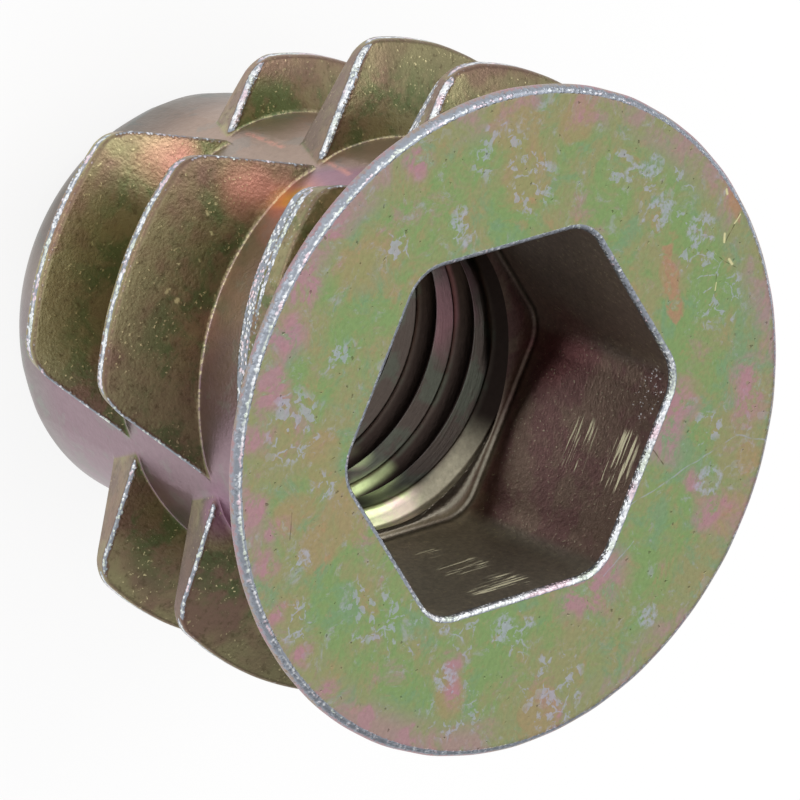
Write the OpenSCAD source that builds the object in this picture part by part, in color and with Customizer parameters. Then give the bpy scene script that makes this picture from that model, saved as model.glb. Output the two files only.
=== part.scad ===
// Flanged threaded insert for wood, cast in one piece in a four-slide die.
// It stands on its tip, with the flange on top and the Z axis along the bore.
// The origin is the centre of the tip's end face. All sizes are in millimetres and degrees.

/* [Body] */
// Overall length, from the tip to the front of the flange
body_length = 12.7; // [12:0.1:20]
// Diameter of the core, carried up to the front of the flange
core_top_d = 11.5; // [11.2:0.1:12.6]
// Diameter of the core at the tip
core_tip_d = 9.7; // [8.8:0.1:10.6]
// Chamfer round the outside of the tip
tip_chamfer = 0.35; // [0.1:0.05:0.6]
// Angle at the axis that each flat land between two lobes takes up
land_angle = 14; // [8:1:20]

/* [Flange] */
// Diameter of the flange
flange_d = 15.7; // [15.3:0.1:20]
// Thickness of the flange at its rounded rim
flange_rim_t = 0.36; // [0.3:0.02:1.2]
// Slope of the flange's underside
flange_back_angle = 10; // [0:1:20]

/* [Hexagon socket] */
// Width of the socket across its flats
hex_across_flats = 8.35; // [7.2:0.05:8.6]
// Depth of the socket
hex_depth = 5; // [3:0.1:7]
// Radius of the socket's six corners
hex_corner_r = 1.05; // [0.3:0.05:1.5]
// Bevel round the socket's mouth
hex_bevel = 0.08; // [0.05:0.01:0.3]

/* [Bore] */
// Diameter of the bore, at the crests of the machine thread
bore_d = 7; // [5:0.05:7.2]
// Width of the chamfer at each end of the bore
bore_chamfer = 0.35; // [0.1:0.05:0.5]

/* [Wood thread] */
// Rise of the wood thread in one turn
thread_pitch = 3.3; // [2.8:0.05:4.5]
// Diameter over the full wood thread, on its last turn
thread_d = 15.3; // [14.4:0.1:15.4]
// Diameter over the wood thread in the middle of its length
thread_mid_d = 15; // [14:0.1:15.2]
// Diameter over the wood thread where its steep lead-in ends
thread_lead_d = 14.3; // [12.5:0.05:14.6]
// Height at which the thread starts to stand out of the core
thread_start_z = 1.3; // [0.6:0.1:2]
// Height at which the steep lead-in ends
thread_lead_z = 3.7; // [2.6:0.1:4.5]
// Height at which the thread has its middle diameter
thread_mid_z = 6.2; // [5:0.1:8]
// Height at which the thread has its full diameter and starts to run out
thread_full_z = 9.6; // [8.4:0.1:9.8]
// Height at which the thread has run out into the core
thread_end_z = 10.6; // [10:0.1:11.4]
// Height of the crest above the +X axis, on the first turn that passes there
thread_phase_z = 4.5; // [4:0.1:5]
// Width of the crest
crest_w = 0.36; // [0.2:0.02:0.6]
// Slope of the flank that faces the flange
flank_upper = 20; // [12:1:26]
// Slope of the flank that faces the tip
flank_lower = 6; // [3:1:15]

/* [Lobes] */
// Number of slides in the die, each of which casts one lobe
lobes = 4; // [3:1:5]
// Angle at the axis that a lobe takes up where it meets the core
lobe_angle = 77.5; // [60:0.5:78]
// Draft of a lobe's two ends, from the slide's direction of pull
lobe_draft = 10; // [5:1:18]
// Lean of a lobe's two ends, which draw together towards the tip
end_lean = 17.5; // [0:0.5:18]
// How far the corners of a crest are softened
corner_soft = 0.9; // [0.5:0.1:2]

/* [Hidden] */
$fn = 96;

// Overlap that makes sure that two joined solids share volume, and cuts run clear of faces
lap = 0.5;
// Depth to which the thread's foot is sunk in the core
foot_sink = 0.6;
// Steps of the thread in one turn
thread_steps = 96;

// Steps in each half of a rounded corner of the socket
corner_steps = 3;

flange_r = flange_d / 2;
rim_r = flange_rim_t / 2;
corner_x = (hex_across_flats / 2 - hex_corner_r) / cos(30);
lobe_pitch = 360 / lobes;
land_centre = lobe_pitch / 2;

// Radius of the core at height z
function core_r(z) = (core_tip_d + (core_top_d - core_tip_d) * z / body_length) / 2;

// Value at z on the straight line from (z0, r0) to (z1, r1)
function on_line(z, z0, r0, z1, r1) = r0 + (r1 - r0) * (z - z0) / (z1 - z0);

// Radius of the surface that the crests of the lobes lie on, at height z
function envelope_r(z) =
    z < thread_lead_z ? on_line(z, thread_start_z, core_r(thread_start_z), thread_lead_z, thread_lead_d / 2)
    : z < thread_mid_z ? on_line(z, thread_lead_z, thread_lead_d / 2, thread_mid_z, thread_mid_d / 2)
    : z < thread_full_z ? on_line(z, thread_mid_z, thread_mid_d / 2, thread_full_z, thread_d / 2)
    : thread_d / 2;

// Radius that the thread fades to as it runs out below the flange
function run_out_r(z) = on_line(z, thread_full_z, thread_d / 2, thread_end_z, core_r(thread_end_z));

// Angle from the middle of the nearest lobe
function from_lobe(angle) = abs(angle - lobe_pitch * round(angle / lobe_pitch));

// Height above the crest's middle, at radius r, of the flank on one side: 1 the flange's, -1 the tip's
function flank_slope(side) = side > 0 ? tan(flank_upper) : -tan(flank_lower);
function flank_z(r, full_r, side) = side * crest_w / 2 + (full_r - r) * flank_slope(side);

// Radius at which a flank meets the lobe's end wall, a plane with draft that leans in to the tip
function end_wall_r(angle, z, full_r, side) =
    let (
        lean = tan(end_lean) * cos(lobe_draft),
        reach = core_r(z) * sin(lobe_draft + lobe_angle / 2)
    )
    (reach + lean * flank_z(0, full_r, side))
        / (sin(lobe_draft + from_lobe(angle)) + lean * flank_slope(side));

// The smaller of a and b, with the corner between them rounded off over the distance soft
function smooth_min(a, b, soft) =
    min(a, b) - pow(max(soft - abs(a - b), 0), 2) / soft / 4;

// Height of the crest's middle at an angle
function crest_z(angle) = thread_phase_z + thread_pitch * angle / 360;

// Radius of the whole lobe's crest, which is one arc about the axis
function lobe_r(angle) = envelope_r(crest_z(lobe_pitch * round(angle / lobe_pitch)));

// Radius of one edge of the crest: the lobe's own, less where its ends or the run-out cut it back
function crest_r(angle, side) =
    let (
        z = crest_z(angle),
        full_r = lobe_r(angle),
        end_r = smooth_min(full_r, end_wall_r(angle, z, full_r, side), corner_soft)
    )
    max(min(end_r, run_out_r(z)), core_r(z) - foot_sink / 2);

// Section through the ridge: foot and crest on the tip's side, then crest and foot on the flange's
function ridge_section(angle) =
    let (
        z = crest_z(angle),
        full_r = lobe_r(angle),
        foot_r = core_r(z) - foot_sink,
        at = function(r, side) [r * cos(angle), r * sin(angle), z + flank_z(r, full_r, side)]
    )
    [at(foot_r, -1), at(crest_r(angle, -1), -1), at(crest_r(angle, 1), 1), at(foot_r, 1)];

// Angle of the first land past the place where the crest reaches height z
function land_past(z) = lobe_pitch * floor((z - thread_phase_z) / thread_pitch * lobes) + land_centre;

// The thread runs from the land before its first lobe to the land after its run-out
first_land = land_past(thread_start_z);
last_land = land_past(thread_end_z);

// Helical ridge whose crest follows the lobes: it dives into the core at every land
module wood_thread() {
    steps = round((last_land - first_land) / 360 * thread_steps);
    sections = [for (i = [0:steps]) ridge_section(first_land + (last_land - first_land) * i / steps)];
    sides = len(sections[0]);
    skin = [
        for (i = [0:steps - 1], j = [0:sides - 1])
            let (a = i * sides + j, b = i * sides + (j + 1) % sides)
            each [[a, b, a + sides], [b, b + sides, a + sides]]
    ];
    start_cap = [for (j = [sides - 1:-1:0]) j];
    end_cap = [for (j = [0:sides - 1]) steps * sides + j];
    polyhedron(points = [for (s = sections) each s], faces = concat(skin, [start_cap, end_cap]));
}

// Half the profile of the core and the flange, to be revolved
module body_profile() {
    slope = flange_back_angle;
    rim_x = flange_r - rim_r;
    rim_z = body_length - rim_r;
    under_x = rim_x + rim_r * sin(slope);
    under_z = rim_z - rim_r * cos(slope);
    hub_r = core_r(under_z);
    polygon([
        [0, 0],
        [core_r(0) - tip_chamfer, 0],
        [core_r(tip_chamfer), tip_chamfer],
        [hub_r, under_z - (under_x - hub_r) * tan(slope)],
        [under_x, under_z],
        [rim_x, body_length],
        [0, body_length]
    ]);
    translate([rim_x, rim_z]) circle(r = rim_r);
}

// Flat lands along the parting lines of the die, which taper as the core does
module lands() {
    taper = atan((core_top_d - core_tip_d) / 2 / body_length);
    for (i = [0:lobes - 1])
        rotate([0, 0, land_centre + i * lobe_pitch])
            translate([core_r(0) * cos(land_angle / 2), 0, 0])
                rotate([0, taper, 0])
                    translate([0, -flange_r, -lap])
                        cube([flange_r, flange_d, body_length - flange_rim_t * 2]);
}

// Hexagon with rounded corners, two of them on the X axis
module rounded_hexagon() {
    polygon([
        for (turn = [0:60:300], i = [-corner_steps:corner_steps])
            let (a = turn + 30 * i / corner_steps)
            [
                corner_x * cos(turn) + hex_corner_r * cos(a),
                corner_x * sin(turn) + hex_corner_r * sin(a)
            ]
    ]);
}

// Hexagon socket with a small bevel round its mouth
module hexagon_socket() {
    translate([0, 0, body_length - hex_depth])
        linear_extrude(height = hex_depth + lap) rounded_hexagon();
    translate([0, 0, body_length - hex_bevel * 2])
        hull()
            for (turn = [0:60:300])
                rotate(turn) translate([corner_x, 0, 0])
                    cylinder(
                        r1 = hex_corner_r - hex_bevel,
                        r2 = hex_corner_r + hex_bevel * 2,
                        h = hex_bevel * 3,
                        $fn = 12 * corner_steps
                    );
}

// Through bore, with a chamfer at the socket's floor and at the tip
module bore() {
    bore_r = bore_d / 2;
    floor_z = body_length - hex_depth;
    translate([0, 0, -lap]) cylinder(r = bore_r, h = body_length);
    translate([0, 0, -bore_chamfer])
        cylinder(r1 = bore_r + bore_chamfer * 2, r2 = bore_r, h = bore_chamfer * 2);
    translate([0, 0, floor_z - bore_chamfer])
        cylinder(r1 = bore_r, r2 = bore_r + bore_chamfer * 2, h = bore_chamfer * 2);
}

module insert_body() {
    color([0.62, 0.6, 0.42])
        difference() {
            union() {
                difference() {
                    rotate_extrude() body_profile();
                    lands();
                }
                wood_thread();
            }
            hexagon_socket();
            bore();
        }
}

insert_body();
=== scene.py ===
"""Flanged threaded insert for wood: zinc casting with a yellow chromate finish."""

import math

import bpy
import numpy as np
from bpy.props import FloatProperty, FloatVectorProperty, PointerProperty
from mathutils import Matrix, Vector


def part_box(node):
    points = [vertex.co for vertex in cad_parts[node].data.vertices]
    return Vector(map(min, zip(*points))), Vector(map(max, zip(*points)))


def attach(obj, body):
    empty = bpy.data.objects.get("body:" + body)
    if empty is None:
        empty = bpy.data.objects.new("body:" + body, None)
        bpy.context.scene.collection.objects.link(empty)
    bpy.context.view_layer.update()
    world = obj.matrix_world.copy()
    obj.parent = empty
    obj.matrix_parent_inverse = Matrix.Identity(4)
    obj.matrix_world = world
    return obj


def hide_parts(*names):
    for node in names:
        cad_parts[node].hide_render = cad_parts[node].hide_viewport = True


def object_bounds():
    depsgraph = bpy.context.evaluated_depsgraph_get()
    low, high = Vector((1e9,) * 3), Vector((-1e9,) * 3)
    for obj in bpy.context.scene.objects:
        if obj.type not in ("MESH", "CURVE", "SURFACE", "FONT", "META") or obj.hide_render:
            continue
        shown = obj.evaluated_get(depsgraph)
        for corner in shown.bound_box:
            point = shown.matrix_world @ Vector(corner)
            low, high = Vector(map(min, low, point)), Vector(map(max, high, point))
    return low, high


bl_info = {
    "name": "Flanged threaded insert",
    "version": (1, 0, 0),
    "blender": (4, 5, 0),
    "location": "3D View > Sidebar > Insert",
    "description": "Builds a chromated, die-cast insert for wood round its CAD solid",
    "category": "Add Mesh",
}

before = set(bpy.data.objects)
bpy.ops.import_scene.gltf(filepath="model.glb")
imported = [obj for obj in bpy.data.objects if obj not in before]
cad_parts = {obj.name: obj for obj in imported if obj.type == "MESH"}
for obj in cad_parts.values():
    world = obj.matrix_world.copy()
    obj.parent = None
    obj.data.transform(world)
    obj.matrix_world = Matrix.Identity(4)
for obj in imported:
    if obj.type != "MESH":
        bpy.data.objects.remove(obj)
CAD_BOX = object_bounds()
NODE = "insert_body"
LOW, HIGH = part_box(NODE)
MM = 0.001


# ---------------------------------------------------------------- sizes


def length(name, description, value):
    """A size, in metres."""
    return FloatProperty(
        name=name, description=description, default=value, min=0.0, precision=5,
        subtype="DISTANCE", unit="LENGTH",
    )


def angle(name, description, degrees):
    """An angle, given in degrees."""
    return FloatProperty(
        name=name, description=description, default=math.radians(degrees), subtype="ANGLE", unit="ROTATION"
    )


def number(name, description, value):
    """A share, a slope or another plain number."""
    return FloatProperty(name=name, description=description, default=value, min=0.0)


def tone(red, green, blue):
    """A colour as a screen shows it, 0 to 255, in Blender's own linear values."""
    shares = (red / 255, green / 255, blue / 255)
    return tuple(c / 12.92 if c <= 0.04045 else ((c + 0.055) / 1.055) ** 2.4 for c in shares)


def colour(name, description, value):
    """A colour, given as a screen shows it."""
    return FloatVectorProperty(
        name=name, description=description, default=tone(*value), size=3, min=0.0, max=1.0, subtype="COLOR"
    )


class BodySizes(bpy.types.PropertyGroup):
    """Core, flange, socket and bore."""

    body_length: length("Length", "From the tip to the front of the flange", HIGH.z - LOW.z)
    core_top_d: length("Core at the flange", "Diameter of the core, carried up to the flange's front", 0.0115)
    core_tip_d: length("Core at the tip", "Diameter of the core at the tip", 0.0097)
    tip_chamfer: length("Tip chamfer", "Chamfer round the outside of the tip", 0.00035)
    land_angle: angle("Land angle", "Angle that each flat land between two lobes takes up", 14)
    flange_d: length("Flange diameter", "Diameter over the flange", HIGH.x - LOW.x)
    flange_rim_t: length("Rim thickness", "Thickness of the flange at its rounded rim", 0.00036)
    flange_back_angle: angle("Underside slope", "Slope of the flange's underside", 10)
    hex_across_flats: length("Socket across flats", "Width of the hexagon socket across its flats", 0.00835)
    hex_depth: length("Socket depth", "Depth of the hexagon socket", 0.005)
    hex_corner_r: length("Socket corner", "Radius of the socket's six corners", 0.00105)
    hex_bevel: length("Socket bevel", "Round at the socket's mouth", 0.0001)
    bore_d: length("Bore", "Diameter of the bore, at the crests of the machine thread", 0.007)
    bore_chamfer: length("Bore chamfer", "Chamfer at each end of the bore", 0.00035)


class WoodThreadSizes(bpy.types.PropertyGroup):
    """The coarse thread outside, cast in four lobes."""

    pitch: length("Pitch", "Rise of the wood thread in one turn", 0.0033)
    full_d: length("Full diameter", "Diameter over the last turn", 0.0153)
    mid_d: length("Middle diameter", "Diameter in the middle of the length", 0.015)
    lead_d: length("Lead-in diameter", "Diameter where the steep lead-in ends", 0.0143)
    start_z: length("Start", "Height at which the thread starts", 0.0013)
    lead_z: length("End of lead-in", "Height at which the steep lead-in ends", 0.0037)
    mid_z: length("Middle", "Height at which the thread has its middle diameter", 0.0062)
    full_z: length("Start of run-out", "Height at which the thread starts to run out", 0.0096)
    end_z: length("End of run-out", "Height at which the thread has run out", 0.0106)
    phase_z: length("Phase", "Height of the crest above the X axis", 0.0045)
    crest_w: length("Crest width", "Width of the crest", 0.00036)
    flank_upper: angle("Upper flank", "Slope of the flank that faces the flange", 20)
    flank_lower: angle("Lower flank", "Slope of the flank that faces the tip", 6)
    lobe_angle: angle("Lobe angle", "Angle that a lobe takes up where it meets the core", 77.5)
    lobe_draft: angle("Lobe draft", "Draft of a lobe's two ends", 10)
    end_lean: angle("Lobe lean", "Lean of a lobe's two ends towards the tip", 17.5)
    crest_round: length("Crest round", "Radius along both edges of a crest", 0.00008)
    end_round: length("End round", "Radius round the corner of a lobe", 0.0004)
    root_round: length("Root round", "Fillet where the thread meets the core", 0.00004)


class MachineThreadSizes(bpy.types.PropertyGroup):
    """The screw thread in the bore."""

    pitch: length("Pitch", "Rise of the machine thread in one turn", 0.001411)
    major_d: length("Major diameter", "Diameter at the bottom of the thread's groove", 0.00794)
    crest_w: length("Crest width", "Width of the thread's flat crest", 0.00068)
    phase_z: length("Phase", "Height of a crest's middle above the X axis", 0.005319)
    edge_round: length("Edge round", "Radius along the edges of the thread", 0.00004)
    mouth_slope: number("Mouth slope", "Spread of the mouth's chamfer for each unit of depth", 1.7)


class FinishColours(bpy.types.PropertyGroup):
    """Colours of the chromate and of the metal under it, and of painted highlights, glints, reflections and
    shade.
    """

    face_green: colour("Face green", "Main green of the flange's front", (142, 168, 112))
    face_olive: colour("Face olive", "Yellower patches of the front", (162, 160, 118))
    face_moss: colour("Face moss", "Cooler green patches of the front", (134, 166, 128))
    face_tan: colour("Face tan", "Orange-tan patches of the front", (184, 152, 118))
    face_pink: colour("Face pink", "Pink patches of the front", (196, 138, 162))
    face_orange: colour("Face orange", "Orange bands of the front", (186, 146, 120))
    face_grey: colour("Face grey", "Lavender-grey patches of the front", (182, 182, 192))
    scuff_pale: colour("Scuffs", "Small scuffs and scratches", (184, 188, 206))
    flank_olive: colour("Flank olive", "Olive of the thread's flanks", (158, 150, 114))
    flank_brown: colour("Flank brown", "Brown of the thread's flanks", (150, 130, 106))
    flank_green: colour("Flank green", "Green near the thread's roots", (104, 124, 82))
    # Painted glints and highlight: gold of the sparkles on the flanks and of the line along the roots.
    flank_glint_gold: colour("Flank gold", "Gold grain on the flanks", (244, 232, 180))
    core_mauve: colour("Core mauve", "Mauve of the core and its lands", (152, 128, 136))
    core_grey: colour("Core grey", "Grey-green of the core", (152, 152, 146))
    # Partly the chromate's own tint and partly a painted reflection of the lands.
    red_tint_and_reflection: colour("Hot red", "Red tint where the film is thick", (232, 166, 150))
    yellow_tint_and_reflection: colour("Hot yellow", "Yellow tint within the red", (236, 196, 96))
    flank_dark: colour("Flank dark", "Dark grain on the flanks", (108, 96, 72))
    edge_plum: colour("Edge plum", "Dark line beside the worn crests", (112, 88, 78))
    flank_maroon: colour("Flank maroon", "Maroon patches of the flanks", (142, 114, 102))
    wall_mauve: colour("Wall mauve", "Mauve of the lobes' end walls", (138, 112, 106))
    core_tan: colour("Core tan", "Tan of the lands", (172, 150, 136))
    core_plum: colour("Core plum", "Plum patches near the flange", (160, 116, 142))
    socket_red: colour("Socket red", "Red patches of the socket's walls", (160, 92, 98))
    nick_brown: colour("Nicks", "Small dark nicks and pits", (84, 74, 52))
    # Pink of the painted glints in the bore.
    bore_glint_pink: colour("Bore blush", "Pink tint of the pale patches", (240, 214, 206))
    worn_grey: colour("Worn grey", "Dull bare metal between the bright beads", (158, 164, 174))
    # Pale gold of the real flakes on the front and of the painted glints on the flanks.
    flake_and_glint_pale: colour("Flakes", "Gold flakes lifted by knocks", (226, 220, 170))
    # Worn metal and painted highlights of edges and crests, in silver, pink and green.
    wear_and_highlight_silver: colour("Worn edges", "Edges worn to pale metal", (244, 247, 250))
    wear_and_highlight_pink: colour("Worn pink", "Pink tint of worn edges", (236, 200, 212))
    wear_and_highlight_green: colour("Worn green", "Green tint of worn edges", (200, 216, 186))
    socket_brown: colour("Socket brown", "Brown of the socket's walls", (160, 136, 122))
    socket_maroon: colour("Socket maroon", "Maroon of the socket's walls", (152, 118, 114))
    # Partly olive tint, partly painted light on the low wall and floor; the next is painted light on the high
    # wall.
    socket_olive_and_light: colour("Socket olive", "Olive of the socket's walls", (206, 198, 178))
    high_wall_painted_light: colour("Socket dust", "Dull brown of the wall in shade", (176, 160, 150))
    streak_gold: colour("Socket streaks", "Scratches left by the key", (250, 244, 206))
    # Dark tones painted as the shade inside the bore; the groove's tone is painted shade in the groove.
    bore_grey: colour("Bore grey", "Grey-green of the machine thread", (86, 88, 78))
    bore_mauve: colour("Bore mauve", "Mauve of the machine thread", (86, 76, 70))
    bore_pink: colour("Bore pink", "Pink patches of the machine thread", (132, 92, 100))
    bore_groove_shade: colour("Bore groove", "The machine thread's groove", (62, 52, 48))
    # Pale green of the painted glints in the bore.
    bore_glint: colour("Bore glint", "Pale green patches of the machine thread", (222, 240, 176))


class StageSizes(bpy.types.PropertyGroup):
    """Floor, light and camera."""

    floor_size: length("Floor", "Width of the floor", 3.0)
    floor_tone: colour("Floor colour", "Colour of the floor", (250, 250, 250))
    white_share: number("White floor", "Share of the seen floor that is plain white", 0.85)
    wall_behind: number("Wall behind", "How dark gloss sees the wall behind", 0.6)
    wall_right: number("Wall on the right", "How dark gloss sees the wall on the right", 0.35)
    lens: number("Lens", "Focal length in millimetres", 484.75)
    camera_turn: angle("Camera's side", "Angle of the camera from straight in front", -0.72)
    camera_rise: angle("Camera's rise", "Angle of the camera above the floor", 48.512)
    camera_roll: angle("Camera's roll", "Turn of the camera about its own line of sight", 111.9)
    camera_distance: length("Camera's distance", "From the camera to the flange's front", 0.24318)


# ---------------------------------------------------------------- form

NORMAL_STEP = 0.012  # half the distance over which a surface's slope is taken, in millimetres
OUTSIDE, FACE, SOCKET, BORE = range(4)


def round_max(a, b, radius):
    """The larger of two distances, with a round of that radius between the surfaces."""
    u, v = np.maximum(radius + a, 0), np.maximum(radius + b, 0)
    return np.minimum(-radius, np.maximum(a, b)) + np.hypot(u, v)


def round_min(a, b, radius):
    """The smaller of two distances, with a fillet of that radius between the surfaces."""
    u, v = np.maximum(radius - a, 0), np.maximum(radius - b, 0)
    return np.maximum(radius, np.minimum(a, b)) - np.hypot(u, v)


def soft_low(a, b, width):
    """The smaller of two radii, blended where they differ by less than the width."""
    return np.minimum(a, b) - np.maximum(width - np.abs(a - b), 0) ** 2 / (4 * width)


def on_line(x, x0, y0, x1, y1):
    """Height at x of the line through two points."""
    return y0 + (y1 - y0) * (x - x0) / (x1 - x0)


def soft_step(x, low, high):
    """0 below low and 1 above high, with a smooth rise between."""
    t = np.clip((x - low) / (high - low), 0, 1)
    return t * t * (3 - 2 * t)


def in_mm(group):
    """The group's lengths in millimetres and its angles in radians, by name."""
    found = {}
    for key, prop in group.bl_rna.properties.items():
        if key not in ("rna_type", "name"):
            value = getattr(group, key)
            found[key] = value / MM if getattr(prop, "unit", "") == "LENGTH" else value
    return found


class Ripple:
    """Smooth waviness along two directions, the same on every run, between -1 and 1."""

    def __init__(self, seed, waves, slowest, fastest):
        rng = np.random.default_rng(seed)
        self.along = rng.uniform(slowest, fastest, waves) * rng.choice([-1, 1], waves)
        self.up = rng.uniform(slowest, fastest, waves)
        self.phase = rng.uniform(0, 2 * math.pi, waves)

    def __call__(self, along, up):
        total = 0.0
        for a, u, phase in zip(self.along, self.up, self.phase):
            total = total + np.sin(a * along + u * up + phase)
        return total / len(self.along)


class OuterForm:
    """Core, lands and wood thread, in millimetres and degrees round the axis."""

    lobe_pitch = 90.0
    land_at = 45.0  # angle of the first land
    lands_fade = (10.9, 11.3)  # heights between which the lands run out into the round neck
    crest_end = 32.0  # rough angle from a lobe's middle to the end of its crest
    rows_below = 0.37  # share of a pitch that a turn's rows reach below its crest
    row_counts = (4, 5, 4, 4, 5, 5, 10, 5, 5)
    mark_names = ("edge", "rise", "crest", "root", "wall")
    # how much further out than the rest some end walls stand, after the dies' fit, by lobe and side
    end_shift = {(270, -1): 0.15, (180, 1): 0.06}
    # how wide and how bright each end's corner is painted worn with a highlight, by lobe and side
    end_wear_and_highlight = {(180, 1): (0.1, 1.0), (0, -1): (0.048, 0.9), (270, -1): (0.05, 0.5), (270, 1): (0.05, 0.6)}

    def __init__(self, body, thread):
        self.b, self.t = in_mm(body), in_mm(thread)
        self.pitch, self.phase = self.t["pitch"], self.t["phase_z"]
        self.fine = Ripple(5, 9, 1.5, 6.0)
        self.broad = Ripple(8, 7, 0.4, 1.4)
        self.core_top, self.core_tip = self.b["core_top_d"] / 2, self.b["core_tip_d"] / 2
        self.core_slope = (self.core_top - self.core_tip) / self.b["body_length"]

    def core_r(self, z):
        return self.core_tip + self.core_slope * z

    def core_surface(self, theta, z):
        """The core with its four flat lands, which end below the flange, and the tip's rounded edge."""
        past = theta - self.land_at
        off = np.radians(np.abs(past - self.lobe_pitch * np.round(past / self.lobe_pitch)))
        flat = (self.core_tip * math.cos(self.b["land_angle"] / 2) + z * self.core_slope) / np.cos(off)
        core = self.core_r(z)
        core = core - np.maximum(core - flat, 0) * (1 - soft_step(z, *self.lands_fade))
        chamfer = self.b["tip_chamfer"]
        return soft_low(core, self.core_tip - chamfer + z, chamfer)

    def envelope_r(self, z):
        """Radius of the thread's crest before it runs out."""
        t = self.t
        points = [
            (t["start_z"], self.core_r(t["start_z"])), (t["lead_z"], t["lead_d"] / 2),
            (t["mid_z"], t["mid_d"] / 2), (t["full_z"], t["full_d"] / 2),
        ]
        r = on_line(z, *points[0], *points[1])
        for first, second in zip(points[1:], points[2:]):
            r = np.where(z > first[0], on_line(z, *first, *second), r)
        return np.where(z > t["full_z"], t["full_d"] / 2, r)

    def end_extra(self, lobe, side):
        """How much further out than the rest a lobe's end wall stands."""
        lobe = np.mod(lobe, 360)
        return sum(shift * ((lobe == at) & (side == way)) for (at, way), shift in self.end_shift.items())

    def crest_limits(self, crest_z):
        """Radius that the run-out leaves of a crest at each height."""
        t = self.t
        return on_line(crest_z, t["full_z"], t["full_d"] / 2, t["end_z"], self.core_r(t["end_z"]))

    def end_plane(self, z, extra):
        """Distance from the axis of a lobe's end wall at crest height z, and how much it leans."""
        t = self.t
        reach = self.core_r(z) * math.sin(t["lobe_draft"] + t["lobe_angle"] / 2) + extra
        return reach, math.tan(t["end_lean"]) * math.cos(t["lobe_draft"])

    def grid(self, turns):
        """Angles and heights of the mesh's points, by column and then by turn and row. Rows keep to the
        edges of crest and roots, and columns to the two edges of every lobe's end wall."""
        t, half = self.t, self.t["crest_w"] / 2
        tan_up, tan_low = math.tan(t["flank_upper"]), math.tan(t["flank_lower"])
        lobe, sign, station = (np.array(c)[:, None] for c in zip(*self.stations()))
        lobe_z = self.phase + self.pitch * (lobe / 360 + turns[None, :])

        def size(middle_z, side):
            end_z = middle_z + side * self.pitch * self.crest_end / 360
            full = self.envelope_r(middle_z)
            top = np.minimum(full, self.crest_limits(end_z))
            return full, top, end_z, np.maximum(top - self.core_r(end_z), 0.35)

        full, top, end_z, depth = size(lobe_z, sign)
        next_depth = size(lobe_z + sign * self.pitch / 4, -sign)[3]
        share = np.clip(station - 2, 0, 1) / 2
        depth = depth * (1 - share) + next_depth * share
        low_root, high_root = -half - depth * tan_low, half + depth * tan_up
        one = np.ones_like(depth)
        stops = [
            -self.rows_below * self.pitch * one, low_root - 0.12, np.minimum(low_root + 0.05, -half - 0.05),
            (-half - 0.03) * one, (-half + 0.06) * one, (half - 0.06) * one, (half + 0.06) * one,
            np.maximum(high_root - 0.07, half + 0.08), high_root + 0.08,
            (1 - self.rows_below) * self.pitch * one,
        ]
        rows = [a + (b - a) * k / n for a, b, n in zip(stops, stops[1:], self.row_counts) for k in range(n)]
        dz = np.stack(rows, -1)
        by_column = (full, top, end_z, low_root, high_root, station, lobe, sign)
        full, top, end_z, low_root, high_root, station, lobe, sign = (v[..., None] for v in by_column)
        reach, lean = self.end_plane(end_z, self.end_extra(lobe, sign))
        core = self.core_r(end_z + dz)
        flank = full - np.maximum(dz - half, 0) / tan_up - np.maximum(-dz - half, 0) / tan_low
        flank = np.maximum(np.minimum(flank, top), core)
        on_fin = np.clip(dz, low_root, high_root)
        between = np.where(dz > high_root, dz, dz + self.pitch) - high_root
        between = np.clip(between / (self.pitch + low_root - high_root), 0, 1)
        off_fin = high_root + (low_root - high_root) * between
        foot_z = np.where((dz > high_root) | (dz < low_root), off_fin, on_fin)
        draft = math.degrees(t["lobe_draft"])
        foot = np.degrees(np.arcsin(np.clip((reach + lean * foot_z) / core, 0, 0.99))) - draft
        foot = np.minimum(foot, self.land_at - 0.7)
        edge = np.degrees(np.arcsin(np.clip((reach + lean * on_fin) / flank, 0, 0.99))) - draft
        edge = np.minimum(edge, foot - 3)
        off = edge * np.clip(station, 0, 1) + (foot - edge) * np.clip(station - 1, 0, 1)
        off = off + (self.land_at - foot) * np.clip(station - 2, 0, 1)
        theta = lobe + sign * off
        z = self.phase + self.pitch * (turns[None, :, None] + theta / 360) + dz
        return theta.reshape(len(theta), -1), z.reshape(len(z), -1)

    def stations(self):
        """Columns as (lobe's angle, side, station): 0 to 1 across the lobe, to 2 down its end wall, and to
        3 across the gap."""
        ramp = [*np.linspace(0, 0.9, 20), 0.945, 0.97, 0.985]
        ramp += [1, 1.03, 1.07, 1.15, 1.3, 1.5, 1.7, 1.87, 1.95, 2, 2.1, 2.4, 2.7]
        for lobe in np.arange(0, 360, self.lobe_pitch):
            yield from ((lobe, 1, s) for s in ramp)
            yield lobe, 1, 3
            yield from ((lobe + self.lobe_pitch, -1, s) for s in ramp[:0:-1])

    def ring_angles(self):
        """Angles of the columns where no lobe stands."""
        lobe, sign, s = (np.array(c, float) for c in zip(*self.stations()))
        wall, gap = 4, 4
        off = (self.land_at - wall - gap) * np.clip(s, 0, 1)
        return lobe + sign * (off + wall * np.clip(s - 1, 0, 1) + gap * np.clip(s - 2, 0, 1))

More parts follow.
